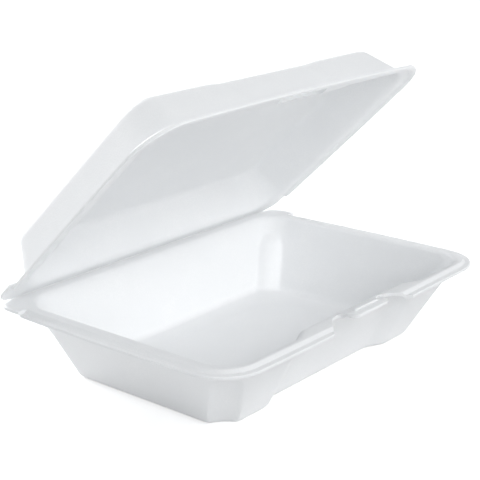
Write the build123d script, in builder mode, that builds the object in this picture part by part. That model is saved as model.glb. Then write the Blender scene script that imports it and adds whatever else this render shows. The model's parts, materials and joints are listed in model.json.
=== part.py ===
from build123d import *
import os
from math import radians, sqrt, tan

os.makedirs("parts", exist_ok=True)

# Sizes in millimetres, angles in degrees. The origin is the centre of the tray's foot, +Z is up,
# +X runs along the long side, and -Y points to the front, where the container opens.

# Foam sheet
wall = 2.3
flange_thickness = 1.8
seat_gap = 0.3

# Tray
foot_length = 175.0
foot_width = 115.0
foot_corner_radius = 16.0
foot_edge_radius = 5.0
tray_height = 45.0
tray_end_draft = 25.5
tray_front_draft = 28.0
tray_back_draft = 15.5
rim_corner_radius = 19.0
floor_panel_inset = 20.0
floor_panel_rise = 0.8
floor_panel_corner_radius = 9.0
floor_panel_edge_slope = 45.0

# Lid
lid_depth = 26.0
lid_draft = 22.5
lid_back_draft = 16.0
crown_corner_radius = 13.0
crown_edge_radius = 7.0
opening_angle = 43.0

# Flanges, which nest when the lid is shut
end_flange = 9.1
front_flange = 6.3
back_flange = 5.9
side_bow = 2.0
front_bow = 1.5
lid_front_reach = 2.4
front_corner_radius = 23.0
hinge_corner_radius = 9.0
lip_drop = 1.85
lip_width = 2.8
ridge_slope_width = 1.8
ear_length = 18.0
ear_reach = 2.0
hinge_end_gap = 0.12

# Corner flutes of the tray. The levels are those of the centres of the groove's round ends, outside the wall
flute_radius = 14.0
flute_depth = 2.0
flute_low_level = 8.5
flute_high_level = 33.0

# Finger recess in the tray's front wall
recess_length = 97.0
recess_end_slope = 9.0
recess_depth = 5.5
recess_corner_radius = 6.0

# Shallow recess in the lid's front wall, over the slot
lid_recess_length = 80.0
lid_recess_end_slope = 4.0
lid_recess_depth = 1.6
lid_recess_corner_radius = 3.0

# Locking tab on the tray and the slot in the lid that it enters
tab_length = 32.0
tab_setback = 1.2
tab_rise = 1.4
tab_corner_radius = 4.0
tab_bead_radius = 1.0
tab_bead_end_gap = 5.5
tab_rise_setback = 2.4
tab_rise_run = 1.6
tab_bead_setback = 1.3
notch_length = 7.5
notch_slant = 48.0
notch_corner_radius = 5.0
slot_length = 40.0
slot_clearance = 0.6
slot_back_bow = 1.2
slot_corner_radius = 2.5
slot_wall_height = 6.5

# Worked out from the sizes above
end_run = tray_height * tan(radians(tray_end_draft))
front_run = tray_height * tan(radians(tray_front_draft))
back_run = tray_height * tan(radians(tray_back_draft))
rim_half_length = foot_length / 2 + end_run
rim_front = -foot_width / 2 - front_run
rim_back = foot_width / 2 + back_run
flange_half_length = rim_half_length + end_flange
flange_front = rim_front - front_flange
hinge_y = rim_back + back_flange
hinge_axis = Axis((0, hinge_y, tray_height), (-1, 0, 0))
half_gap = seat_gap / 2
tray_rim_level = tray_height - half_gap
lid_rim_level = tray_height + half_gap + flange_thickness
ridge_inset = lip_width + ridge_slope_width
ear_front = hinge_y - ear_length
tab_front = flange_front + tab_setback
notch_half_length = tab_length / 2 + notch_length
notch_run = 3 * front_flange
recess_back = rim_front + recess_depth
slot_front = tab_front - slot_clearance
lid_run = lid_depth * tan(radians(lid_draft))
lid_back_run = lid_depth * tan(radians(lid_back_draft))
slot_back = rim_front + lid_recess_depth + slot_wall_height * tan(radians(lid_draft))
block_depth = tray_height / 2
half_diagonal = sqrt(0.5)


def rounded_face(half_length, front, back, radius, level):
    """Rectangle with rounded corners, flat at the given level."""
    with BuildSketch(Plane.XY.offset(level)) as face:
        with Locations((0, (front + back) / 2)):
            Rectangle(2 * half_length, back - front)
        fillet(face.vertices(), radius)
    return face.sketch


def flange_face(inset, level, reach):
    """Plan of the flange: bowed front and sides, rounded corners and a straight hinge line."""
    half_length = flange_half_length - inset
    front = flange_front + inset
    back = hinge_y - hinge_end_gap
    middle = (front + back) / 2
    with BuildSketch(Plane.XY.offset(level)) as face:
        with BuildLine():
            front_left = (-half_length + side_bow, front + front_bow)
            front_right = (half_length - side_bow, front + front_bow)
            back_right = (half_length - side_bow, back)
            back_left = (-half_length + side_bow, back)
            ThreePointArc(front_left, (0, front - reach), front_right)
            ThreePointArc(front_right, (half_length, middle), back_right)
            Line(back_right, back_left)
            ThreePointArc(back_left, (-half_length, middle), front_left)
        make_face()
        fillet(face.vertices().group_by(Axis.Y)[0], front_corner_radius - inset)
        fillet(face.vertices().group_by(Axis.Y)[-1], hinge_corner_radius - inset)
    return face.sketch


def ear_faces(level):
    """The two flat ears of the flange at the ends of the hinge."""
    ear_half_length = flange_half_length - side_bow + ear_reach
    back = hinge_y - hinge_end_gap
    with BuildSketch(Plane.XY.offset(level)) as face:
        with Locations((0, (ear_front + back) / 2)):
            Rectangle(2 * ear_half_length, back - ear_front)
        fillet(face.vertices().group_by(Axis.Y)[-1], hinge_corner_radius)
        fillet(face.vertices().group_by(Axis.Y)[0], ear_reach / 2)
    return face.sketch


def rim_block(level, reach):
    """Everything below the nesting surface of the flanges: lip, slope, ridge and ears."""
    with BuildPart() as block:
        extrude(flange_face(0, level - lip_drop, reach), amount=-block_depth)
        loft(
            [
                flange_face(lip_width, level - lip_drop, reach),
                flange_face(ridge_inset, level, reach),
            ],
            ruled=True,
        )
        extrude(ear_faces(level), amount=-lip_drop - block_depth)
    return block.part


def recess_tool(half_length, end_slope, depth, grow, edge_radius, bottom, top, wall_bottom, wall_top):
    """Tapered block that sets part of a front wall back, from a lower to an upper level."""
    reach = front_flange + lid_run + front_run
    faces = []
    for level, wall_front in ((bottom, wall_bottom), (top, wall_top)):
        inner = half_length - end_slope / 2 + grow
        outer = inner + end_slope * (depth + reach) / depth
        back = wall_front + depth + grow
        front = back - depth - reach
        with BuildSketch(Plane.XY.offset(level)) as face:
            with BuildLine():
                Polyline((-outer, front), (outer, front), (inner, back), (-inner, back), close=True)
            make_face()
            fillet(face.vertices().group_by(Axis.Y)[-1], edge_radius)
        faces.append(face.sketch)
    with BuildPart() as tool:
        loft(faces, ruled=True)
    return tool.part


def flute_tool(side, end, grow):
    """Upright groove in the corner on the given side and end, fading out at both ends."""
    radius = flute_radius + grow
    shift = flute_radius - flute_depth
    foot_reach = (shift + foot_corner_radius) * half_diagonal - foot_corner_radius
    rim_reach = (shift + rim_corner_radius) * half_diagonal - rim_corner_radius
    rim_end = rim_back if end > 0 else rim_front
    foot = Vector(side * (foot_length / 2 + foot_reach), end * (foot_width / 2 + foot_reach), 0)
    rim = Vector(side * (rim_half_length + rim_reach), rim_end + end * rim_reach, tray_height)
    run = rim - foot
    low = foot + run * (flute_low_level / tray_height)
    high = foot + run * (flute_high_level / tray_height)
    with BuildPart() as tool:
        with BuildSketch(Plane(origin=low, z_dir=run)):
            Circle(radius)
        extrude(amount=(high - low).length)
        with Locations(low, high):
            Sphere(radius)
    return tool.part


def tray_section(level, inset, corner_radius):
    """Plan of the tray's walls at one level, drawn in by the inset."""
    share = level / tray_height
    return rounded_face(
        foot_length / 2 + end_run * share - inset,
        -foot_width / 2 - front_run * share + inset,
        foot_width / 2 + back_run * share - inset,
        corner_radius - inset,
        level,
    )


def tray_form(inset):
    """Solid form of the tray's walls and foot, drawn in by the inset."""
    top = tray_height + inset
    foot_front = -foot_width / 2
    top_front = foot_front - front_run * top / tray_height
    with BuildPart() as form:
        loft(
            [
                tray_section(inset, inset, foot_corner_radius),
                tray_section(top, inset, rim_corner_radius),
            ],
            ruled=True,
        )
        add(
            recess_tool(
                recess_length / 2, recess_end_slope, recess_depth, inset,
                recess_corner_radius, 0, top, foot_front, top_front,
            ),
            mode=Mode.SUBTRACT,
        )
        fillet(form.edges().group_by(Axis.Z)[0], foot_edge_radius)
        for side in (-1, 1):
            for end in (-1, 1):
                add(flute_tool(side, end, inset), mode=Mode.SUBTRACT)
    return form.part


def lid_form(inset):
    """Solid form of the shut lid's walls and crown, drawn in by the inset."""
    crown = tray_height + lid_depth
    share = 1 - inset / lid_depth
    half_length = rim_half_length - lid_run * share - inset
    front = rim_front + lid_run * share + inset
    back = rim_back - lid_back_run * share - inset
    with BuildPart() as form:
        loft(
            [
                rounded_face(
                    rim_half_length - inset, rim_front + inset, rim_back - inset,
                    rim_corner_radius - inset, tray_height,
                ),
                rounded_face(half_length, front, back, crown_corner_radius - inset, crown - inset),
            ],
            ruled=True,
        )
        add(
            recess_tool(
                lid_recess_length / 2, lid_recess_end_slope, lid_recess_depth, inset,
                lid_recess_corner_radius, tray_height, crown, rim_front, rim_front + lid_run,
            ),
            mode=Mode.SUBTRACT,
        )
        fillet(form.edges().group_by(Axis.Z)[-1], crown_edge_radius - inset)
    return form.part


def front_band(half_length, back, run, bottom, top):
    """Upright block across the middle of the front, wider outwards, with its inner corners rounded."""
    outer = half_length + run * tan(radians(notch_slant))
    front = back - run
    with BuildPart() as band:
        with BuildSketch(Plane.XY.offset(bottom)) as face:
            with BuildLine():
                Polyline((-outer, front), (outer, front), (half_length, back), (-half_length, back), close=True)
            make_face()
            fillet(face.vertices().group_by(Axis.Y)[-1], notch_corner_radius)
        extrude(amount=top - bottom)
    return band.part


def slot_tool():
    """D-shaped hole through the lid's flange and the foot of its front wall."""
    half_length = slot_length / 2
    side_back = slot_back - slot_back_bow
    with BuildPart() as tool:
        with BuildSketch(Plane.XY.offset(tray_height - lip_drop - 1)) as face:
            with BuildLine():
                Polyline((-half_length, side_back), (-half_length, slot_front),
                         (half_length, slot_front), (half_length, side_back))
                ThreePointArc((half_length, side_back), (0, slot_back), (-half_length, side_back))
            make_face()
            fillet(face.vertices(), slot_corner_radius)
        extrude(amount=lid_depth / 2 + lip_drop + 1)
    return tool.part


def tab_body():
    """Tongue that rises from the rim and lies level, with a bead along it."""
    root = recess_back + wall / 2
    rise_start = recess_back - tab_rise_setback
    rise_end = rise_start - tab_rise_run
    low = tray_rim_level - flange_thickness
    bead_y = rise_end - tab_bead_setback
    with BuildPart() as tab:
        with BuildSketch(Plane.YZ.offset(-tab_length / 2)):
            with BuildLine():
                Polyline(
                    (root, low), (rise_start, low), (rise_end, low + tab_rise),
                    (tab_front, low + tab_rise), (tab_front, tray_rim_level + tab_rise),
                    (rise_end, tray_rim_level + tab_rise), (rise_start, tray_rim_level),
                    (root, tray_rim_level), close=True,
                )
            make_face()
        extrude(amount=tab_length)
        fillet(tab.edges().filter_by(Axis.Z).group_by(Axis.Y)[0], tab_corner_radius)
        bead_length = tab_length - 2 * tab_bead_end_gap
        with Locations((0, bead_y, tray_rim_level + tab_rise)):
            Cylinder(tab_bead_radius, bead_length, rotation=(0, 90, 0))
    return tab.part


# Tray: one moulded shell with a foot, flutes, finger recess, nesting flange and tab
tray_outside = tray_form(0)
tray_inside = tray_form(wall)
tray_flange_top = rim_block(tray_rim_level, 0)
tray_flange_under = rim_block(tray_rim_level - flange_thickness, 0)
tab_band = front_band(
    notch_half_length, recess_back, notch_run,
    tray_rim_level - flange_thickness - lip_drop - 1, tray_height + 1,
)
tab_tongue = tab_body()
floor_panel_length = foot_length - 2 * floor_panel_inset
floor_panel_width = foot_width - 2 * floor_panel_inset

with BuildPart() as base_tray:
    add(tray_flange_top)
    add(tray_flange_under, mode=Mode.SUBTRACT)
    add(tab_band, mode=Mode.SUBTRACT)
    add(tray_outside)
    split(bisect_by=Plane.XY.offset(tray_rim_level), keep=Keep.BOTTOM)
    add(tray_inside, mode=Mode.SUBTRACT)
    add(tab_tongue)
    with BuildSketch(Plane.XY.offset(wall)):
        RectangleRounded(floor_panel_length, floor_panel_width, floor_panel_corner_radius)
    extrude(amount=floor_panel_rise, taper=floor_panel_edge_slope)

base_tray.part.label = "base_tray"
export_step(base_tray.part, "parts/base_tray.step")

# Lid: one moulded shell with a crown, flange and slot, turned up about the hinge line
lid_outside = lid_form(0)
lid_inside = lid_form(wall)
lid_flange_top = rim_block(lid_rim_level, lid_front_reach)
lid_flange_under = rim_block(lid_rim_level - flange_thickness, lid_front_reach)
lid_slot = slot_tool()

with BuildPart() as shut_lid:
    add(lid_outside)
    split(bisect_by=Plane.XY.offset(tray_height + half_gap), keep=Keep.TOP)
    add(lid_flange_top)
    add(lid_flange_under, mode=Mode.SUBTRACT)
    add(lid_inside, mode=Mode.SUBTRACT)
    add(lid_slot, mode=Mode.SUBTRACT)

with BuildPart() as lid:
    add(shut_lid.part.rotate(hinge_axis, opening_angle))

lid.part.label = "lid"
export_step(lid.part, "parts/lid.step")
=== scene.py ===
import json
import logging
import math
from dataclasses import dataclass
from enum import Enum

import bmesh
import bpy
from mathutils import Matrix, Vector


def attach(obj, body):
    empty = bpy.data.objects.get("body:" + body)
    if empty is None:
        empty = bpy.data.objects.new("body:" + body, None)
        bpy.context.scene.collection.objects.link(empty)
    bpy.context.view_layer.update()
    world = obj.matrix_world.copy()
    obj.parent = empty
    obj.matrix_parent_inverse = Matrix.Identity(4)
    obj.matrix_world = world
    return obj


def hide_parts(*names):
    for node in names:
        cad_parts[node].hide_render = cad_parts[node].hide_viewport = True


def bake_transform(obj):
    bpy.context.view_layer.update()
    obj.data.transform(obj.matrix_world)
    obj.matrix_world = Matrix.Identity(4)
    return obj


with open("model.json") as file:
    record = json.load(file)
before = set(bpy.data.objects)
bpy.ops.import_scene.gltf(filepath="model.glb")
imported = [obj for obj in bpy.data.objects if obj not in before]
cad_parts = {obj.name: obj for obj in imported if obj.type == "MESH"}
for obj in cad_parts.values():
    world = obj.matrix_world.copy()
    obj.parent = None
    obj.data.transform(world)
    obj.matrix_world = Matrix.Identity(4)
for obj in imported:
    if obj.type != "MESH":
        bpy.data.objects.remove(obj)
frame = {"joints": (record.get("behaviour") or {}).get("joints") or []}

LOG = logging.getLogger("container")
MM = 0.001
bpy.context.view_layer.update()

# Sizes below are in millimetres and angles in degrees, in the frame of the part: the origin is the
# centre of the tray's foot, +Z is up and -Y is the front. Meshes are written in metres.


class Fit(Enum):
    """Which way a shell's walls run from its floor or crown to its rim."""

    STANDS = 1
    COVERS = -1


class FoamFace(Enum):
    """Material slots of a foam shell."""

    SKIN = 0
    CUT = 1


@dataclass(frozen=True)
class Outline:
    """Plan of a flange: a rectangle with rounded corners and gently bowed front and sides."""

    half_length: float
    front: float
    back: float
    front_radius: float
    back_radius: float
    side_bow: float = 0.0
    front_bow: float = 0.0

    def drawn_in(self, inset: float) -> "Outline":
        """The outline made smaller all round but for its hinge line.

        Args:
            inset: distance to draw the outline in.

        Returns:
            The smaller outline.
        """
        return Outline(
            self.half_length - inset, self.front + inset, self.back,
            max(self.front_radius - inset, 0.5), max(self.back_radius - inset, 0.5),
            self.side_bow, self.front_bow,
        )

    def beyond(self, x: float, y: float) -> float:
        """How far a point lies outside the outline.

        Args:
            x: place along the long side.
            y: place across it.

        Returns:
            The distance, which is negative inside the outline.
        """
        middle = (self.front + self.back) / 2
        half_width = (self.back - self.front) / 2
        across = min(abs(y - middle) / half_width, 1.0)
        along = min(abs(x) / self.half_length, 1.0)
        side_x = abs(x) + self.side_bow * across ** 2
        front_y = middle - y + self.front_bow * along ** 2 if y < middle else y - middle
        radius = self.front_radius if y < middle else self.back_radius
        corner_x = side_x - (self.half_length - radius)
        corner_y = front_y - (half_width - radius)
        return math.hypot(max(corner_x, 0), max(corner_y, 0)) + min(max(corner_x, corner_y), 0) - radius

    def reach(self, start: Vector, way: Vector) -> float:
        """Distance from a point inside the outline to it.

        Args:
            start: the point, in plan.
            way: direction to look along, of unit length.

        Returns:
            The distance along that direction.
        """
        near, far = 0.0, 60.0
        for _ in range(34):
            trial = (near + far) / 2
            if self.beyond(start.x + way.x * trial, start.y + way.y * trial) < 0:
                near = trial
            else:
                far = trial
        return (near + far) / 2


@dataclass(frozen=True)
class Section:
    """Plan of a shell's walls at one level: a rectangle with rounded corners."""

    half_length: float
    front: float
    back: float
    radius: float


@dataclass(frozen=True)
class Station:
    """A place round the shell, from which one line of its mesh runs out from the floor to the rim.

    The walls stand off a core rectangle, the centres of their corners, by the corner radius.
    """

    run: float
    stretch: float
    across: float
    way: Vector
    fan: Vector
    knee: float

    def core(self, section: Section) -> Vector:
        """The station's point on the core rectangle of a section.

        Args:
            section: plan of the walls.

        Returns:
            The point, in plan.
        """
        core_length = section.half_length - section.radius
        core_front = section.front + section.radius
        core_back = section.back - section.radius
        sign = math.copysign(1.0, self.run)
        x = self.run + sign * self.stretch * (core_length - self.knee)
        return Vector((x, core_front + self.across * (core_back - core_front)))


@dataclass(frozen=True)
class StationPlan:
    """Sets out the stations round both shells, so that features always meet a line of the mesh."""

    knee: float = 58.0
    corner_steps: int = 30
    side_steps: int = 14
    ear_angle: float = 24.4
    ear_angle_gap: float = 0.35
    fan_start: float = 30.0
    fan_end: float = 60.0

    def front_runs(self) -> list[tuple[float, float]]:
        """Places along half of the long side, from its middle to the corner.

        Returns:
            Pairs of a fixed run and the share of what is left of the straight side.
        """
        coarse = [0.0, 4.0, 8.0, 12.0, 15.0, 17.5, 19.0, 20.5, 22.5, 25.0, 29.0, 32.5]
        fine = [35.0 + 1.25 * step for step in range(18)]
        return [(run, 0.0) for run in [*coarse, *fine, self.knee]] + [
            (self.knee, share) for share in (0.25, 0.5, 0.75)
        ]

    def corner_angles(self, back: bool) -> list[float]:
        """Angles of the lines in one corner, from the side to the long side.

        Args:
            back: whether the corner is at the hinge.

        Returns:
            Angles in degrees, from 0 at the side to 90.
        """
        angles = [90.0 * step / self.corner_steps for step in range(self.corner_steps + 1)]
        if back:
            angles = [a for a in angles if abs(a - self.ear_angle) > 1.0]
            angles += [self.ear_angle - self.ear_angle_gap, self.ear_angle + self.ear_angle_gap]
        return sorted(angles)

    def fan_of(self, angle: float, back: bool) -> float:
        """Angle at which a corner line crosses the flange.

        Args:
            angle: the line's angle on the wall.
            back: whether the corner is at the hinge, where the lines leave square to the ear.

        Returns:
            The angle in degrees.
        """
        if not back:
            return angle
        share = (angle - self.fan_start) / (self.fan_end - self.fan_start)
        return 90.0 * min(max(share, 0.0), 1.0)

    def stations(self) -> list[Station]:
        """All stations in order, anticlockwise from the front's left end seen from above."""
        quarter: dict[bool, list[tuple[float, float, float, float, float]]] = {}
        for back in (False, True):
            across = 1.0 if back else 0.0
            runs = [(run, share, across, 90.0, 90.0) for run, share in self.front_runs()]
            corner = [
                (self.knee, 1.0, across, angle, self.fan_of(angle, back))
                for angle in self.corner_angles(back)
            ]
            quarter[back] = runs + corner[::-1]
        side = [(self.knee, 1.0, step / self.side_steps, 0.0, 0.0) for step in range(1, self.side_steps)]

        def place(entry: tuple[float, float, float, float, float], x_sign: int, y_sign: int) -> Station:
            """One station from its quarter of the plan.

            Args:
                entry: run, stretch, across, wall angle and fan angle.
                x_sign: side that the station is on.
                y_sign: front or back.

            Returns:
                The station.
            """
            run, stretch, across, angle, fan = entry
            ways = [
                Vector((x_sign * math.cos(math.radians(a)), y_sign * math.sin(math.radians(a))))
                for a in (angle, fan)
            ]
            return Station(x_sign * run if run else 0.0, stretch, across, ways[0], ways[1], self.knee)

        right_front = [place(e, 1, -1) for e in quarter[False]]
        right_side = [place(e, 1, 1) for e in side]
        right_back = [place(e, 1, 1) for e in quarter[True][::-1]]
        left_back = [place(e, -1, 1) for e in quarter[True][1:]]
        left_side = [place(e, -1, 1) for e in side[::-1]]
        left_front = [place(e, -1, -1) for e in quarter[False][:0:-1]]
        return right_front + right_side + right_back + left_back + left_side + left_front


@dataclass(frozen=True)
class FlangeSizes:
    """Sizes that both flanges share, so that the lid's nests over the tray's."""

    thickness: float = 1.8
    rim_half_length: float = 108.964
    rim_front: float = -81.427
    rim_back: float = 69.98
    rim_radius: float = 19.0
    end_reach: float = 9.1
    front_reach: float = 6.3
    hinge_gap: float = 0.12
    side_bow: float = 2.0
    front_bow: float = 1.5
    front_radius: float = 23.0
    hinge_radius: float = 9.0
    ear_length: float = 18.0
    ear_reach: float = 2.0
    lip_drop: float = 1.85
    lip_width: float = 2.8
    slope_width: float = 1.8
    fold_radius: float = 0.4
    edge_radius: float = 0.35

    def outline(self, hinge_y: float, front_extra: float) -> Outline:
        """Plan of the flange's cut edge.

        Args:
            hinge_y: where the hinge line lies.
            front_extra: how much further out the middle of the front bows.

        Returns:
            The outline.
        """
        return Outline(
            self.rim_half_length + self.end_reach, self.rim_front - self.front_reach - front_extra,
            hinge_y - self.hinge_gap, self.front_radius, self.hinge_radius, self.side_bow,
            self.front_bow + front_extra,
        )

    def ear_outline(self, hinge_y: float) -> Outline:
        """Plan of the two ears at the ends of the hinge.

        Args:
            hinge_y: where the hinge line lies.

        Returns:
            The outline.
        """
        half_length = self.rim_half_length + self.end_reach - self.side_bow + self.ear_reach
        return Outline(
            half_length, self.rim_front, hinge_y - self.hinge_gap, self.front_radius, self.hinge_radius
        )

    def profile(self) -> list[tuple[float, float]]:
        """Nesting surface from the ridge to the lip: distance in from the cut edge, and drop."""
        slope_start = self.lip_width + self.slope_width
        fold = self.fold_radius
        steep = self.lip_drop / self.slope_width
        return [
            (slope_start + fold, 0.0),
            (slope_start + 0.05, 0.15 * fold * steep),
            (slope_start - 0.8 * fold, 0.8 * fold * steep),
            (self.lip_width + 0.8 * fold, self.lip_drop - 0.8 * fold * steep),
            (self.lip_width, self.lip_drop - 0.15 * fold * steep),
            (self.lip_width - fold, self.lip_drop),
        ]


@dataclass(frozen=True)
class TabSizes:
    """Locking tab in the middle of the tray's front flange, and the notches beside it."""

    half_length: float = 16.0
    notch_length: float = 7.5
    notch_slant: float = 48.0
    setback: float = 1.2
    rise: float = 1.4
    corner_radius: float = 4.0
    notch_radius: float = 5.0
    root_radius: float = 1.2
    profile_shift: float = 3.6
    bead_radius: float = 1.0
    bead_stretch: float = 9.5
    bead_from_edge: float = 5.3


@dataclass(frozen=True)
class Flute:
    """Upright groove in a corner that fades out at both ends.

    The levels are those of the centres that its round ends turn about, outside the wall.
    """

    radius: float = 14.0
    depth: float = 2.0
    low_level: float = -1.0
    high_level: float = 20.0
    softness: float = 1.1


@dataclass(frozen=True)
class Recess:
    """Stretch of a front wall that is set back."""

    half_length: float
    end_slope: float
    depth: float

    def depth_at(self, run: float, inset: float) -> float:
        """How far the wall is set back at one place along it.

        Args:
            run: distance from the middle of the front.
            inset: how far the skin lies inside the wall's outer face.

        Returns:
            The set-back.
        """
        ramp_start = self.half_length - 0.85 * self.end_slope + inset
        ramp_end = self.half_length + 0.85 * self.end_slope + inset
        share = min(max((ramp_end - abs(run)) / (ramp_end - ramp_start), 0.0), 1.0)
        return self.depth * share * share * (3 - 2 * share)


class Shop:
    """Work on meshes with Blender's own operators."""

    @staticmethod
    def clear_selection() -> None:
        """Deselects every object."""
        bpy.ops.object.select_all(action="DESELECT")

    @staticmethod
    def activate(piece: bpy.types.Object) -> None:
        """Makes one object the only selected and active one.

        Args:
            piece: the object.
        """
        Shop.clear_selection()
        piece.select_set(True)
        bpy.context.view_layer.objects.active = piece

    @staticmethod
    def apply_boolean(piece: bpy.types.Object, tool: bpy.types.Object, operation: str) -> None:
        """Cuts or joins a piece with a tool, and removes the tool.

        Args:
            piece: the object that is changed.
            tool: the object that cuts or is joined.
            operation: DIFFERENCE or UNION.
        """
        Shop.activate(piece)
        modifier = piece.modifiers.new("cut", "BOOLEAN")
        modifier.operation = operation
        modifier.solver = "EXACT"
        modifier.object = tool
        modifier.material_mode = "TRANSFER"
        bpy.ops.object.modifier_apply(modifier=modifier.name)
        bpy.data.objects.remove(tool)

    @staticmethod
    def bevel_uprights(piece: bpy.types.Object, at_x: float, at_y: float, radius: float) -> None:
        """Rounds a pair of upright edges of a block.

        Args:
            piece: the block.
            at_x: how far from the middle the two edges lie, in millimetres.
            at_y: where they lie across the block.
            radius: radius of the rounding.
        """
        Shop.activate(piece)
        bpy.ops.object.mode_set(mode="EDIT")
        bpy.ops.mesh.select_mode(type="EDGE")
        bpy.ops.mesh.select_all(action="DESELECT")
        mesh = bmesh.from_edit_mesh(piece.data)
        for edge in mesh.edges:
            start, end = (v.co for v in edge.verts)
            upright = abs(start.x - end.x) < 1e-6 and abs(start.y - end.y) < 1e-6
            edge.select = upright and math.hypot(abs(start.x) - at_x * MM, start.y - at_y * MM) < 1e-5
        bmesh.update_edit_mesh(piece.data)
        bpy.ops.mesh.bevel(offset=radius * MM, segments=8, affect="EDGES")
        bpy.ops.object.mode_set(mode="OBJECT")

    @staticmethod
    def block(name: str, low: tuple[float, float, float], high: tuple[float, float, float]) -> bpy.types.Object:
        """A box between two corners.

        Args:
            name: name of the object.
            low: lowest corner, in millimetres.
            high: highest corner.

        Returns:
            The box.
        """
        Shop.clear_selection()
        size = [(h - l) * MM for l, h in zip(low, high)]
        middle = [(h + l) / 2 * MM for l, h in zip(low, high)]
        bpy.ops.mesh.primitive_cube_add(size=1.0, location=middle)
        box = bpy.context.object
        box.name = name
        box.scale = size
        bpy.ops.object.transform_apply(location=True, rotation=True, scale=True)
        return box


@dataclass
class MouldedShell:
    """A foam shell drawn ring by ring from the middle of its floor, over the rim and back underneath."""

    name: str
    body: str
    node: str
    fit: Fit
    rim_level: float
    hinge_y: float
    flange: FlangeSizes
    plan: StationPlan
    wall: float
    floor_level: float
    floor_section: Section
    inner_edge_radius: float
    outer_edge_radius: float
    recess: Recess
    flute: Flute | None = None
    tab: TabSizes | None = None
    front_extra: float = 0.0
    inner_rim_fold: float = 4.0
    outer_rim_fold: float = 1.7
    mating_level: float = 45.0
    level_step: float = 1.6

    def __post_init__(self) -> None:
        """Sets out the stations once."""
        self.stations = self.plan.stations()

    def section(self, level: float) -> Section:
        """Plan of the walls' outer face at one level.

        Args:
            level: height above the tray's foot.

        Returns:
            The section.
        """
        flange = self.flange
        share = (level - self.floor_level) / (self.mating_level - self.floor_level)
        low = self.floor_section

        def mix(start: float, end: float) -> float:
            """Value between the floor's and the rim's."""
            return start + (end - start) * share

        return Section(
            mix(low.half_length, flange.rim_half_length), mix(low.front, flange.rim_front),
            mix(low.back, flange.rim_back), mix(low.radius, flange.rim_radius),
        )

    def slant(self, station: Station) -> float:
        """How far the wall leans back at one station, seen square to it.

        Args:
            station: the line of the mesh.

        Returns:
            The angle from upright, in radians.
        """
        foot, rim = (self.section(level) for level in (self.floor_level, self.mating_level))
        run = station.core(rim) - station.core(foot) + station.way * (rim.radius - foot.radius)
        return math.atan2(run.dot(station.way), abs(self.mating_level - self.floor_level))

    def flute_reach(self, station: Station, level: float, inset: float) -> float:
        """Distance from a corner's centre to the flute in it.

        Args:
            station: the line of the mesh.
            level: height above the tray's foot.
            inset: how far the skin lies inside the wall's outer face.

        Returns:
            The distance, or a very large one beside the flute.
        """
        flute = self.flute
        if flute is None or station.stretch < 1.0:
            return math.inf
        corner = 1 if station.across > 0.5 else -1
        diagonal = Vector((math.copysign(1, station.run), corner)).normalized()
        section = self.section(level)
        centre = station.core(section)
        shift = flute.radius - flute.depth
        radius = flute.radius + inset
        foot, rim = (self.section(at) for at in (self.floor_level, self.mating_level))
        foot_point = station.core(foot) + diagonal * (foot.radius + shift)
        rim_point = station.core(rim) + diagonal * (rim.radius + shift)
        lean = math.atan2((rim_point - foot_point).length, self.mating_level)
        contact = radius * math.sin(lean)
        if flute.low_level + contact < level < flute.high_level + contact:
            groove = centre + diagonal * (section.radius + shift)
            along, aside = radius / math.cos(lean), radius
        else:
            end_level = flute.low_level if level <= flute.low_level + contact else flute.high_level
            end = self.section(end_level)
            groove = station.core(end) + diagonal * (end.radius + shift)
            left = radius ** 2 - (level - end_level) ** 2
            if left <= 0:
                return math.inf
            along = aside = math.sqrt(left)
        offset = groove - centre
        away = offset.length
        turn = math.acos(max(-1.0, min(1.0, station.way.dot(diagonal))))
        a = math.cos(turn) ** 2 / along ** 2 + math.sin(turn) ** 2 / aside ** 2
        b = away * math.cos(turn) / along ** 2
        c = away ** 2 / along ** 2 - 1
        root = b * b - a * c
        if root < 0:
            return math.inf
        return (b - math.sqrt(root)) / a

    def wall_point(self, station: Station, level: float, inset: float) -> Vector:
        """A point of the walls or the floor.

        Args:
            station: the line of the mesh.
            level: height above the tray's foot.
            inset: distance in from the walls' outer face, measured level.

        Returns:
            The point.
        """
        section = self.section(level)
        core = station.core(section)
        reach = section.radius - inset
        groove = self.flute_reach(station, level, inset)
        soft = self.flute.softness if self.flute else 0.0
        if groove < reach + soft:
            overlap = max(soft - abs(groove - reach), 0.0) / soft
            reach = min(groove, reach) - overlap ** 2 * soft / 4
        if station.across == 0.0 and station.stretch < 1.0:
            reach -= self.recess.depth_at(core.x, inset)
        point = core + station.way * reach
        return Vector((point.x, point.y, level))

    def fold_rings(self, inset: float, level: float, radius: float, steps: int, up: int, out: int) -> list:
        """Rings of a rounded fold between a level surface and the walls.

        Args:
            inset: distance of the skin from the walls' outer face.
            level: level of the flat surface.
            radius: radius of the fold.
            steps: how many parts the fold has.
            up: 1 where the walls rise from the surface and -1 where they hang from it.
            out: 1 where the flat surface lies outside the walls and -1 where it lies inside.

        Returns:
            The rings, from the flat surface to the wall.
        """
        rings = []
        for step in range(steps + 1):
            ring = []
            for station in self.stations:
                slant = self.slant(station)
                back_off = radius * (1 - math.sin(slant)) / math.cos(slant)
                angle = (math.pi / 2 - slant) * step / steps
                height = radius * (1 - math.cos(angle))
                drift = height * math.tan(slant) + back_off - radius * math.sin(angle)
                ring.append(self.wall_point(station, level + up * height, inset - out * drift))
            rings.append(ring)
        return rings

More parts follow.
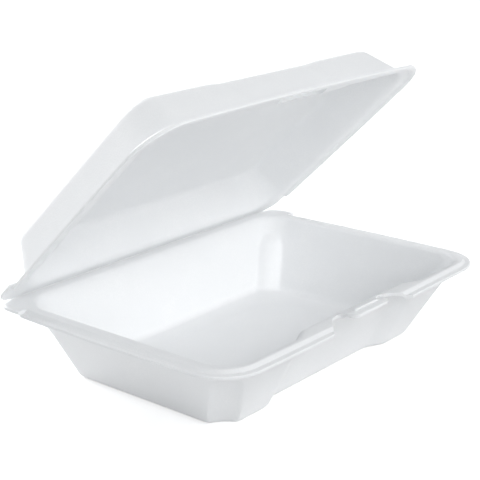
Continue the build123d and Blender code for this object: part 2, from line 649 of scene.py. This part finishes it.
    def wall_rings(self, inset: float, edge_radius: float, rim_level: float, rim_fold: float) -> list:
        """Rings on the straight part of the walls, between the folds at the floor and the rim.

        Args:
            inset: distance of the skin from the walls' outer face.
            edge_radius: radius of the edge between floor and walls.
            rim_level: level of the flange on this side.
            rim_fold: radius of the fold between walls and flange.

        Returns:
            The rings.
        """
        up = self.fit.value
        count = int(abs(self.mating_level - self.floor_level) / self.level_step)
        rings = []
        for step in range(1, count):
            ring = []
            for station in self.stations:
                left = 1 - math.sin(self.slant(station))
                start = self.floor_level + up * (inset + edge_radius * left)
                end = rim_level - up * rim_fold * left
                ring.append(self.wall_point(station, start + (end - start) * step / count, inset))
            rings.append(ring)
        return rings

    def skin(self, inset: float, edge_radius: float, rim_level: float, rim_fold: float) -> list:
        """Rings of one skin from the floor to the rim.

        Args:
            inset: distance of the skin from the walls' outer face.
            edge_radius: radius of the edge between floor and walls.
            rim_level: level of the flange on this side.
            rim_fold: radius of the fold between walls and flange.

        Returns:
            The rings.
        """
        up = self.fit.value
        floor = self.fold_rings(inset, self.floor_level + up * inset, edge_radius, 8, up, -1)
        rim = self.fold_rings(inset, rim_level, rim_fold, 6, -up, 1)
        return floor + self.wall_rings(inset, edge_radius, rim_level, rim_fold) + rim[::-1]

    def tab_share(self, run: float) -> float:
        """How much of the tab's form the flange has at one place along the front.

        Args:
            run: distance from the middle of the front.

        Returns:
            1 on the tab, 0 on the flange, and a share between them in the notch.
        """
        if self.tab is None:
            return 0.0
        start, end = self.tab.half_length + 2, self.tab.half_length + self.tab.notch_length - 3
        return min(max((end - abs(run)) / (end - start), 0.0), 1.0)

    def flange_ring(self, inset: float, drop: float, extra_drop: float, level: float) -> list[Vector]:
        """One ring of the mesh on the flange.

        Args:
            inset: distance in from the cut edge.
            drop: how far the nesting surface has dropped from the ridge.
            extra_drop: further drop that all stations share.
            level: level of the ridge on this side.

        Returns:
            One point for each station.
        """
        rim = self.section(self.mating_level)
        edge = self.flange.outline(self.hinge_y, self.front_extra).drawn_in(inset)
        ear = self.flange.ear_outline(self.hinge_y)
        ear_in = ear.drawn_in(inset)
        ear_front = self.hinge_y - self.flange.ear_length
        lip_share = drop / self.flange.lip_drop
        ring = []
        for station in self.stations:
            at_front = station.across == 0.0 and station.stretch < 1.0
            core = station.core(rim)
            start = core + station.way * (rim.radius - self.wall)
            on_ear = start.y > ear_front and station.across > 0.5
            if on_ear and station.fan.y > 0.99:
                reach = ear.reach(start, station.fan) - inset
            else:
                reach = (ear_in if on_ear else edge).reach(start, station.fan)
            level_drop = 0.0 if on_ear else drop
            if at_front and self.tab is not None:
                share = self.tab_share(core.x)
                shift = self.tab.profile_shift if inset > 1 else 0.0
                reach -= share * (self.tab.setback + shift)
                level_drop = drop * (1 - share) - share * self.tab.rise * lip_share
            point = start + station.fan * reach
            ring.append(Vector((point.x, point.y, level - level_drop - extra_drop)))
        return ring

    def flange_rings(self) -> list:
        """Rings of the flange, out along the nesting side, round the cut edge and back on the other.

        Returns:
            Pairs of rings for the inner skin's side and the outer skin's side.
        """
        flange = self.flange
        inner_level = self.rim_level
        outer_level = self.rim_level - self.fit.value * flange.thickness
        profile = flange.profile()
        lip = flange.lip_drop
        soft = flange.edge_radius
        step_in = 0.3 * soft
        down = self.fit.value

        def side(level: float, toward: int) -> list:
            """Rings on one side, from the ridge to the start of the cut edge."""
            rings = [self.flange_ring(inset, drop, 0.0, level) for inset, drop in profile]
            rings.append(self.flange_ring(soft, lip, 0.0, level))
            rings.append(self.flange_ring(step_in, lip, toward * step_in, level))
            rings.append(self.flange_ring(0.0, lip, toward * soft, level))
            return rings

        return [side(inner_level, down), side(outer_level, -down)]

    def centre_rings(self, inset: float, edge_radius: float) -> list:
        """Rings on the flat floor, from its middle towards the walls.

        Args:
            inset: distance of the skin from the walls' outer face.
            edge_radius: radius of the edge between floor and walls.

        Returns:
            The rings.
        """
        raise NotImplementedError

    def flat_ring(self, share_in: float, radius: float, level: float) -> list[Vector]:
        """A plain ring on the floor, a rounded rectangle set in from the floor's outline.

        Args:
            share_in: distance in from the floor's outline.
            radius: corner radius of the ring.
            level: level of the ring.

        Returns:
            One point for each station.
        """
        low = self.floor_section
        section = Section(low.half_length - share_in, low.front + share_in, low.back - share_in, radius)
        ring = []
        for station in self.stations:
            point = station.core(section) + station.way * radius
            ring.append(Vector((point.x, point.y, level)))
        return ring

    def all_rings(self) -> list:
        """Every ring of the closed mesh in order."""
        up = self.fit.value
        inner_rim = self.rim_level
        outer_rim = self.rim_level - up * self.flange.thickness
        inner = self.skin(self.wall, self.inner_edge_radius, inner_rim, self.inner_rim_fold)
        outer = self.skin(0.0, self.outer_edge_radius, outer_rim, self.outer_rim_fold)
        flange_inner, flange_outer = self.flange_rings()
        return [
            *self.centre_rings(self.wall, self.inner_edge_radius), *inner, *flange_inner,
            *flange_outer[::-1], *outer[::-1], *self.centre_rings(0.0, self.outer_edge_radius)[::-1],
        ]

    def draw(self) -> bpy.types.Object:
        """Extrudes the closed shell ring by ring from a disc.

        Returns:
            The shell.
        """
        rings = self.all_rings()
        Shop.clear_selection()
        bpy.ops.mesh.primitive_circle_add(vertices=len(self.stations), radius=MM, fill_type="NGON")
        shell = bpy.context.object
        shell.name = self.name
        bpy.ops.object.mode_set(mode="EDIT")
        bpy.ops.mesh.select_mode(type="EDGE")
        bpy.ops.mesh.select_all(action="SELECT")
        mesh = bmesh.from_edit_mesh(shell.data)
        tag = mesh.verts.layers.int.new("station")
        for index, vert in enumerate(sorted(mesh.verts, key=lambda v: v.index)):
            vert[tag] = index
        self.settle(shell, rings[0])
        for ring in rings[1:]:
            self.keep_open_edges(shell)
            bpy.ops.mesh.extrude_edges_move()
            self.settle(shell, ring)
        self.keep_open_edges(shell)
        bpy.ops.mesh.edge_face_add()
        bpy.ops.mesh.select_all(action="SELECT")
        bpy.ops.mesh.normals_make_consistent(inside=False)
        bpy.ops.object.mode_set(mode="OBJECT")
        return shell

    @staticmethod
    def keep_open_edges(shell: bpy.types.Object) -> None:
        """Selects only the last ring drawn, whose edges have one face at most.

        Args:
            shell: the shell in edit mode.
        """
        mesh = bmesh.from_edit_mesh(shell.data)
        for vert in mesh.verts:
            vert.select = False
        for face in mesh.faces:
            face.select = False
        for edge in mesh.edges:
            edge.select = edge.is_boundary
        mesh.select_flush_mode()
        bmesh.update_edit_mesh(shell.data)

    @staticmethod
    def settle(shell: bpy.types.Object, ring: list[Vector]) -> None:
        """Moves the selected ring's points to their stations.

        Args:
            shell: the shell in edit mode.
            ring: one place for each station.
        """
        mesh = bmesh.from_edit_mesh(shell.data)
        tag = mesh.verts.layers.int["station"]
        for vert in mesh.verts:
            if vert.select:
                vert.co = ring[vert[tag]] * MM
        bmesh.update_edit_mesh(shell.data)

    def dress(self, shell: bpy.types.Object, finishes: dict[FoamFace, bpy.types.Material]) -> None:
        """Gives the shell its materials: moulded skin all over, and cut foam on the trimmed edge.

        Args:
            shell: the shell.
            finishes: a material for each kind of face.
        """
        for face in FoamFace:
            shell.data.materials.append(finishes[face])
        edge = self.flange.outline(self.hinge_y, self.front_extra)
        for polygon in shell.data.polygons:
            middle = polygon.center / MM
            upright = abs(polygon.normal.z) < 0.3
            if upright and edge.beyond(middle.x, middle.y) > -0.2:
                polygon.material_index = FoamFace.CUT.value

    def join_frame(self, shell: bpy.types.Object) -> None:
        """Puts the shell in the place of its CAD node.

        Args:
            shell: the finished shell.
        """
        Shop.activate(shell)
        bpy.ops.object.shade_smooth_by_angle(angle=math.radians(42))
        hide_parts(self.node)
        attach(shell, self.body)
        LOG.info("%s: %d faces", shell.name, len(shell.data.polygons))


@dataclass
class BaseTray(MouldedShell):
    """The moulded tray with its raised floor panel, locking tab and notches."""

    panel_inset: float = 20.0
    panel_radius: float = 9.0
    panel_rise: float = 0.8

    def centre_rings(self, inset: float, edge_radius: float) -> list:
        """Rings of the raised panel inside, and of the plain foot underneath."""
        if inset == 0.0:
            return [
                self.flat_ring(self.panel_inset + 4, self.panel_radius - 6, 0.0),
                self.flat_ring(self.panel_inset, self.panel_radius, 0.0),
            ]
        level = self.floor_level + inset
        soft = 0.5
        return [
            self.flat_ring(self.panel_inset + 4, self.panel_radius - 6, level + self.panel_rise),
            self.flat_ring(self.panel_inset + self.panel_rise + soft, self.panel_radius - 1, level + self.panel_rise),
            self.flat_ring(self.panel_inset + self.panel_rise, self.panel_radius - 0.5, level + 0.88 * self.panel_rise),
            self.flat_ring(self.panel_inset, self.panel_radius, level + 0.12 * self.panel_rise),
            self.flat_ring(self.panel_inset - soft, self.panel_radius + 0.5, level),
        ]

    def notch_cutter(self, finishes: dict[FoamFace, bpy.types.Material]) -> bpy.types.Object:
        """Block that trims the front flange away beside the tab.

        Args:
            finishes: materials, of which the cut faces take the cut foam.

        Returns:
            The cutter.
        """
        tab = self.tab
        band = tab.half_length + tab.notch_length
        recess_back = self.flange.rim_front + self.recess.depth
        tab_front = self.flange.rim_front - self.flange.front_reach + tab.setback
        notch_front = tab_front - 8
        widening = (recess_back - notch_front) * math.tan(math.radians(tab.notch_slant))
        low, high = self.rim_level - 8, self.rim_level + 8
        cutter = Shop.block("notch_cutter", (-band, notch_front, low), (band, recess_back, high))
        for vert in cutter.data.vertices:
            if vert.co.y < (notch_front + 1) * MM:
                vert.co.x *= 1 + widening / band
        Shop.bevel_uprights(cutter, band, recess_back, tab.notch_radius)
        tongue = Shop.block(
            "tab_keeper", (-tab.half_length, tab_front, low - 1), (tab.half_length, recess_back + 10, high + 1)
        )
        Shop.bevel_uprights(tongue, tab.half_length, tab_front, tab.corner_radius)
        Shop.apply_boolean(cutter, tongue, "DIFFERENCE")
        Shop.bevel_uprights(cutter, tab.half_length, recess_back, tab.root_radius)
        cutter.data.materials.clear()
        cutter.data.materials.append(finishes[FoamFace.CUT])
        return cutter

    def tab_bead(self) -> bpy.types.Object:
        """Small rounded bead that stands along the tab.

        Returns:
            The bead.
        """
        tab = self.tab
        tab_front = self.flange.rim_front - self.flange.front_reach + tab.setback
        place = Vector((0, tab_front + tab.bead_from_edge, self.rim_level + tab.rise)) * MM
        Shop.clear_selection()
        bpy.ops.mesh.primitive_uv_sphere_add(
            segments=24, ring_count=16, radius=tab.bead_radius * MM, location=place,
            rotation=(0, math.radians(90), 0),
        )
        bead = bpy.context.object
        bead.name = "tab_bead"
        bpy.ops.object.transform_apply(location=True, rotation=True, scale=True)
        for sign in (-1, 1):
            for vert in bead.data.vertices:
                if sign * vert.co.x > 1e-6:
                    vert.co.x += sign * tab.bead_stretch * MM
        return bead

    def build(self, finishes: dict[FoamFace, bpy.types.Material]) -> bpy.types.Object:
        """Makes the tray.

        Args:
            finishes: materials of the foam.

        Returns:
            The tray's shell.
        """
        shell = self.draw()
        self.dress(shell, finishes)
        Shop.apply_boolean(shell, self.notch_cutter(finishes), "DIFFERENCE")
        Shop.apply_boolean(shell, self.tab_bead(), "UNION")
        self.join_frame(shell)
        return shell


@dataclass
class Lid(MouldedShell):
    """The moulded lid with the slot that the tab enters, turned up about the hinge."""

    opening: float = 43.0
    slot_half_length: float = 20.0
    slot_front: float = -87.127
    slot_back: float = -77.135
    slot_back_bow: float = 1.2
    slot_corner_radius: float = 2.5
    slot_height: float = 13.0

    def centre_rings(self, inset: float, edge_radius: float) -> list:
        """Plain rings on the crown."""
        level = self.floor_level - inset
        return [
            self.flat_ring(edge_radius + 20, 10.0, level),
            self.flat_ring(edge_radius + 12, 12.0, level),
        ]

    def slot_cutter(self, finishes: dict[FoamFace, bpy.types.Material]) -> bpy.types.Object:
        """Block with a bowed back that cuts the slot.

        Args:
            finishes: materials, of which the cut faces take the cut foam.

        Returns:
            The cutter.
        """
        low = self.mating_level - 6
        high = self.mating_level + self.slot_height
        corner = self.slot_back - self.slot_back_bow
        cutter = Shop.block(
            "slot_cutter", (-self.slot_half_length, self.slot_front, low), (self.slot_half_length, corner, high)
        )
        Shop.activate(cutter)
        bpy.ops.object.mode_set(mode="EDIT")
        bpy.ops.mesh.select_mode(type="EDGE")
        bpy.ops.mesh.select_all(action="DESELECT")
        mesh = bmesh.from_edit_mesh(cutter.data)
        for edge in mesh.edges:
            start, end = (v.co for v in edge.verts)
            edge.select = abs(start.x - end.x) > 1e-4
        bmesh.update_edit_mesh(cutter.data)
        bpy.ops.mesh.subdivide(number_cuts=15)
        bpy.ops.object.mode_set(mode="OBJECT")
        for vert in cutter.data.vertices:
            if abs(vert.co.y - corner * MM) < 1e-6:
                along = vert.co.x / (self.slot_half_length * MM)
                vert.co.y += self.slot_back_bow * (1 - along ** 2) * MM
        Shop.bevel_uprights(cutter, self.slot_half_length, self.slot_front, self.slot_corner_radius)
        Shop.bevel_uprights(cutter, self.slot_half_length, corner, self.slot_corner_radius * 0.9)
        cutter.data.materials.append(finishes[FoamFace.CUT])
        return cutter

    def build(self, finishes: dict[FoamFace, bpy.types.Material]) -> bpy.types.Object:
        """Makes the lid in its shut place and turns it up to where it rests open.

        Args:
            finishes: materials of the foam.

        Returns:
            The lid's shell.
        """
        shell = self.draw()
        self.dress(shell, finishes)
        Shop.apply_boolean(shell, self.slot_cutter(finishes), "DIFFERENCE")
        hinge = Vector((0, self.hinge_y, self.mating_level)) * MM
        turn = Matrix.Rotation(-math.radians(self.opening), 4, "X")
        shell.data.transform(Matrix.Translation(hinge) @ turn @ Matrix.Translation(-hinge))
        self.join_frame(shell)
        return shell


@dataclass(frozen=True)
class FoamFinish:
    """Expanded foam: a satin skin over small closed cells, or the same foam where it is cut."""

    name: str
    light: tuple[float, float, float]
    shade: tuple[float, float, float]
    cell: float
    bump: float
    roughness: float
    roughness_swing: float
    subsurface: float

    def build(self) -> bpy.types.Material:
        """Makes the node material.

        Returns:
            The material.
        """
        material = bpy.data.materials.new(self.name)
        material.use_nodes = True
        nodes, links = material.node_tree.nodes, material.node_tree.links
        shader = nodes["Principled BSDF"]
        place = nodes.new("ShaderNodeTexCoord")

        cells = nodes.new("ShaderNodeTexVoronoi")
        cells.feature = "SMOOTH_F1"
        cells.inputs["Scale"].default_value = 1 / (self.cell * MM)
        cells.inputs["Smoothness"].default_value = 0.6
        grain = nodes.new("ShaderNodeTexNoise")
        grain.inputs["Scale"].default_value = 1 / (self.cell * 4 * MM)
        grain.inputs["Detail"].default_value = 4.0
        clouds = nodes.new("ShaderNodeTexNoise")
        clouds.inputs["Scale"].default_value = 1 / (22 * MM)
        clouds.inputs["Detail"].default_value = 2.0
        for texture in (cells, grain, clouds):
            links.new(place.outputs["Object"], texture.inputs["Vector"])

        mottle = nodes.new("ShaderNodeMath")
        mottle.operation = "ADD"
        links.new(cells.outputs["Distance"], mottle.inputs[0])
        links.new(clouds.outputs["Fac"], mottle.inputs[1])
        tint = nodes.new("ShaderNodeValToRGB")
        tint.color_ramp.elements[0].position = 0.35
        tint.color_ramp.elements[0].color = (*self.light, 1)
        tint.color_ramp.elements[1].position = 1.0
        tint.color_ramp.elements[1].color = (*self.shade, 1)
        links.new(mottle.outputs[0], tint.inputs["Fac"])
        links.new(tint.outputs["Color"], shader.inputs["Base Color"])

        rough = nodes.new("ShaderNodeMapRange")
        rough.inputs["From Min"].default_value = 0.3
        rough.inputs["From Max"].default_value = 0.7
        rough.inputs["To Min"].default_value = self.roughness - self.roughness_swing
        rough.inputs["To Max"].default_value = self.roughness + self.roughness_swing
        links.new(grain.outputs["Fac"], rough.inputs["Value"])
        links.new(rough.outputs["Result"], shader.inputs["Roughness"])

        relief = nodes.new("ShaderNodeMath")
        relief.operation = "MULTIPLY_ADD"
        relief.inputs[1].default_value = 0.5
        links.new(grain.outputs["Fac"], relief.inputs[0])
        links.new(cells.outputs["Distance"], relief.inputs[2])
        bump = nodes.new("ShaderNodeBump")
        bump.inputs["Strength"].default_value = 1.0
        bump.inputs["Distance"].default_value = self.bump * MM
        links.new(relief.outputs[0], bump.inputs["Height"])
        links.new(bump.outputs["Normal"], shader.inputs["Normal"])

        shader.inputs["Subsurface Weight"].default_value = self.subsurface
        shader.inputs["Subsurface Radius"].default_value = (1.0, 1.0, 1.0)
        shader.inputs["Subsurface Scale"].default_value = 4 * MM
        shader.inputs["IOR"].default_value = 1.45
        shader.inputs["Specular IOR Level"].default_value = 0.4
        return material


@dataclass
class HingeCrease:
    """Thin pressed strip of foam that joins tray and lid, built bent to the lid's opening."""

    hinge_y: float
    level: float
    opening: float
    half_length: float
    reach: float = 1.1
    bulge: float = 0.22

    def turned(self, y: float, z: float, angle: float) -> Vector:
        """A point of the lid's side, given in its shut place, after a turn about the hinge.

        Args:
            y: distance behind the hinge line.
            z: height above it.
            angle: turn in degrees.

        Returns:
            The point, in plan across the hinge.
        """
        turn = math.radians(angle)
        return Vector((y * math.cos(turn) + z * math.sin(turn), -y * math.sin(turn) + z * math.cos(turn)))

    def build(self, finish: bpy.types.Material) -> bpy.types.Object:
        """Makes the strip.

        Args:
            finish: its material.

        Returns:
            The strip.
        """
        section = [
            Vector((-0.16, -self.reach)), Vector((self.bulge * 0.4, -self.reach * 0.8)),
            self.turned(self.bulge, -self.reach * 0.3, 0), self.turned(self.bulge, 0.0, self.opening / 2),
            self.turned(self.bulge, self.reach * 0.3, self.opening),
            self.turned(self.bulge * 0.4, self.reach * 0.8, self.opening),
            self.turned(-0.16, self.reach, self.opening),
            self.turned(-0.2, 0.12, self.opening), self.turned(-0.3, 0.0, self.opening / 2), Vector((-0.2, -0.12)),
        ]
        Shop.clear_selection()
        bpy.ops.mesh.primitive_circle_add(vertices=len(section), radius=MM, fill_type="NGON")
        strip = bpy.context.object
        strip.name = "hinge_crease"
        for vert, point in zip(strip.data.vertices, section):
            vert.co = Vector((-self.half_length, self.hinge_y + point.x, self.level + point.y)) * MM
        bpy.ops.object.mode_set(mode="EDIT")
        bpy.ops.mesh.select_all(action="SELECT")
        bpy.ops.mesh.extrude_region_move(TRANSFORM_OT_translate={"value": (2 * self.half_length * MM, 0, 0)})
        bpy.ops.mesh.select_all(action="SELECT")
        bpy.ops.mesh.normals_make_consistent(inside=False)
        bpy.ops.object.mode_set(mode="OBJECT")
        strip.data.materials.append(finish)
        Shop.activate(strip)
        bpy.ops.object.shade_smooth_by_angle(angle=math.radians(60))
        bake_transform(strip)
        LOG.info("%s: %d faces", strip.name, len(strip.data.polygons))
        return strip


@dataclass
class Studio:
    """Plain white floor, soft lamps and the photograph's camera."""

    azimuth: float = -49.68
    elevation: float = 17.54
    roll: float = -0.71
    shift_right: float = 7.29
    shift_up: float = -21.19
    distance: float = 684.83
    focal_pixels: float = 1213.88
    image_pixels: float = 480.0
    aim_y: float = -4.48
    aim_z: float = 45.0

    def camera(self) -> bpy.types.Object:
        """Sets the camera at the photograph's place.

        Returns:
            The camera.
        """
        azimuth, elevation, roll = (math.radians(a) for a in (self.azimuth, self.elevation, self.roll))
        back = Vector((
            math.sin(azimuth) * math.cos(elevation), -math.cos(azimuth) * math.cos(elevation), math.sin(elevation)
        ))
        right = Vector((0, 0, 1)).cross(back).normalized()
        up = back.cross(right)
        right, up = (
            right * math.cos(roll) + up * math.sin(roll), up * math.cos(roll) - right * math.sin(roll)
        )
        place = -(right * self.shift_right + up * self.shift_up - back * self.distance)
        place += Vector((0, self.aim_y, self.aim_z))
        Shop.clear_selection()
        bpy.ops.object.camera_add()
        camera = bpy.context.object
        turn = Matrix((right, up, back)).transposed().to_4x4()
        camera.matrix_world = Matrix.Translation(place * MM) @ turn
        camera.data.sensor_width = 36.0
        camera.data.lens = self.focal_pixels / self.image_pixels * camera.data.sensor_width
        camera.data.clip_start = 0.01
        bpy.context.scene.camera = camera
        return camera

    @staticmethod
    def seen_directly(nodes: bpy.types.Nodes, links: bpy.types.NodeLinks) -> bpy.types.NodeSocket:
        """Value that is 1 where a view or a mirrored or refracted view meets the surface.

        Args:
            nodes: nodes of the material or world.
            links: its links.

        Returns:
            The value's socket.
        """
        path = nodes.new("ShaderNodeLightPath")
        value = path.outputs["Is Camera Ray"]
        for name in ("Is Glossy Ray", "Is Transmission Ray"):
            largest = nodes.new("ShaderNodeMath")
            largest.operation = "MAXIMUM"
            links.new(value, largest.inputs[0])
            links.new(path.outputs[name], largest.inputs[1])
            value = largest.outputs[0]
        return value

    def floor(self) -> bpy.types.Object:
        """Pale floor that shows white to the camera and keeps the container's shadow.

        Returns:
            The floor.
        """
        Shop.clear_selection()
        bpy.ops.mesh.primitive_plane_add(size=8.0)
        floor = bpy.context.object
        floor.name = "floor"
        material = bpy.data.materials.new("white_floor")
        material.use_nodes = True
        nodes, links = material.node_tree.nodes, material.node_tree.links
        nodes.clear()
        output = nodes.new("ShaderNodeOutputMaterial")
        paper = nodes.new("ShaderNodeBsdfDiffuse")
        paper.inputs["Color"].default_value = (0.82, 0.82, 0.82, 1)
        glow = nodes.new("ShaderNodeEmission")
        glow.inputs["Strength"].default_value = 0.5
        both = nodes.new("ShaderNodeAddShader")
        choice = nodes.new("ShaderNodeMixShader")
        links.new(paper.outputs[0], both.inputs[0])
        links.new(glow.outputs[0], both.inputs[1])
        links.new(self.seen_directly(nodes, links), choice.inputs["Fac"])
        links.new(paper.outputs[0], choice.inputs[1])
        links.new(both.outputs[0], choice.inputs[2])
        links.new(choice.outputs[0], output.inputs["Surface"])
        floor.data.materials.append(material)
        return floor

    def sky(self) -> None:
        """Even pale light from all round, white where the camera sees it."""
        world = bpy.data.worlds.new("studio")
        bpy.context.scene.world = world
        world.use_nodes = True
        nodes, links = world.node_tree.nodes, world.node_tree.links
        backdrop = nodes["Background"]
        backdrop.inputs["Color"].default_value = (0.88, 0.94, 1.0, 1)
        backdrop.inputs["Strength"].default_value = 0.18
        white = nodes.new("ShaderNodeBackground")
        white.inputs["Strength"].default_value = 1.0
        choice = nodes.new("ShaderNodeMixShader")
        links.new(self.seen_directly(nodes, links), choice.inputs["Fac"])
        links.new(backdrop.outputs[0], choice.inputs[1])
        links.new(white.outputs[0], choice.inputs[2])
        links.new(choice.outputs[0], nodes["World Output"].inputs["Surface"])

    def lamp(self, name: str, place: tuple[float, float, float], size: float, power: float) -> None:
        """A soft square lamp that points at the container.

        Args:
            name: name of the lamp.
            place: where it stands, in metres.
            size: length of its sides, in metres.
            power: its power in watts.
        """
        Shop.clear_selection()
        bpy.ops.object.light_add(type="AREA", location=place)
        lamp = bpy.context.object
        lamp.name = name
        lamp.data.size = size
        lamp.data.energy = power
        target = Vector((0, 0, 0.06))
        lamp.rotation_euler = (target - Vector(place)).to_track_quat("-Z", "Y").to_euler()

    def build(self) -> None:
        """Sets up the camera, floor, sky and lamps."""
        self.camera()
        self.floor()
        self.sky()
        self.lamp("front_left_lamp", (-1.44, -1.44, 0.88), 1.1, 13.0)
        self.lamp("front_right_lamp", (1.54, -1.34, 0.88), 1.1, 7.0)
        self.lamp("high_front_lamp", (0.21, -1.6, 1.56), 1.1, 18.0)
        self.lamp("low_front_lamp", (0.0, -2.19, 0.28), 1.1, 3.0)
        self.lamp("back_left_lamp", (-1.29, 1.61, 0.81), 1.1, 5.0)
        self.lamp("back_lamp", (0.2, 1.96, 1.04), 1.1, 46.0)
        bpy.context.scene.view_settings.view_transform = "Standard"


def main() -> None:
    logging.basicConfig(level=logging.INFO, format="%(message)s")
    joint = next(j for j in frame["joints"] if j["name"] == "lid_hinge")
    hinge_y = joint["pos_m"][1] / MM
    mating_level = joint["pos_m"][2] / MM
    opening = -joint["range_deg"][0]
    flange, plan = FlangeSizes(), StationPlan()
    half_gap = 0.15
    crease_half_length = 108.0
    finishes = {
        FoamFace.SKIN: FoamFinish(
            "foam_skin", (0.94, 0.947, 0.953), (0.9, 0.91, 0.92), 0.9, 0.05, 0.52, 0.06, 0.4
        ).build(),
        FoamFace.CUT: FoamFinish(
            "foam_cut", (0.925, 0.932, 0.938), (0.855, 0.865, 0.875), 0.6, 0.12, 0.8, 0.05, 0.4
        ).build(),
    }
    Studio().build()
    tray = BaseTray(
        name="tray_shell", body="tray", node="base_tray", fit=Fit.STANDS,
        rim_level=mating_level - half_gap, hinge_y=hinge_y, flange=flange, plan=plan, wall=2.3,
        floor_level=0.0, floor_section=Section(87.5, -57.5, 57.5, 16.0),
        inner_edge_radius=5.0, outer_edge_radius=5.0, recess=Recess(48.5, 9.0, 5.5), flute=Flute(),
        tab=TabSizes(),
    )
    tray.build(finishes)
    lid = Lid(
        name="lid_shell", body="lid", node="lid", fit=Fit.COVERS,
        rim_level=mating_level + half_gap, hinge_y=hinge_y, flange=flange, plan=plan, wall=2.3,
        floor_level=71.0, floor_section=Section(98.195, -70.657, 62.525, 13.0), front_extra=2.4,
        inner_edge_radius=4.7, outer_edge_radius=7.0, recess=Recess(40.0, 7.0, 1.6), opening=opening,
    )
    lid.build(finishes)
    HingeCrease(hinge_y, mating_level, opening, crease_half_length).build(finishes[FoamFace.SKIN])


if __name__ == "__main__":
    main()
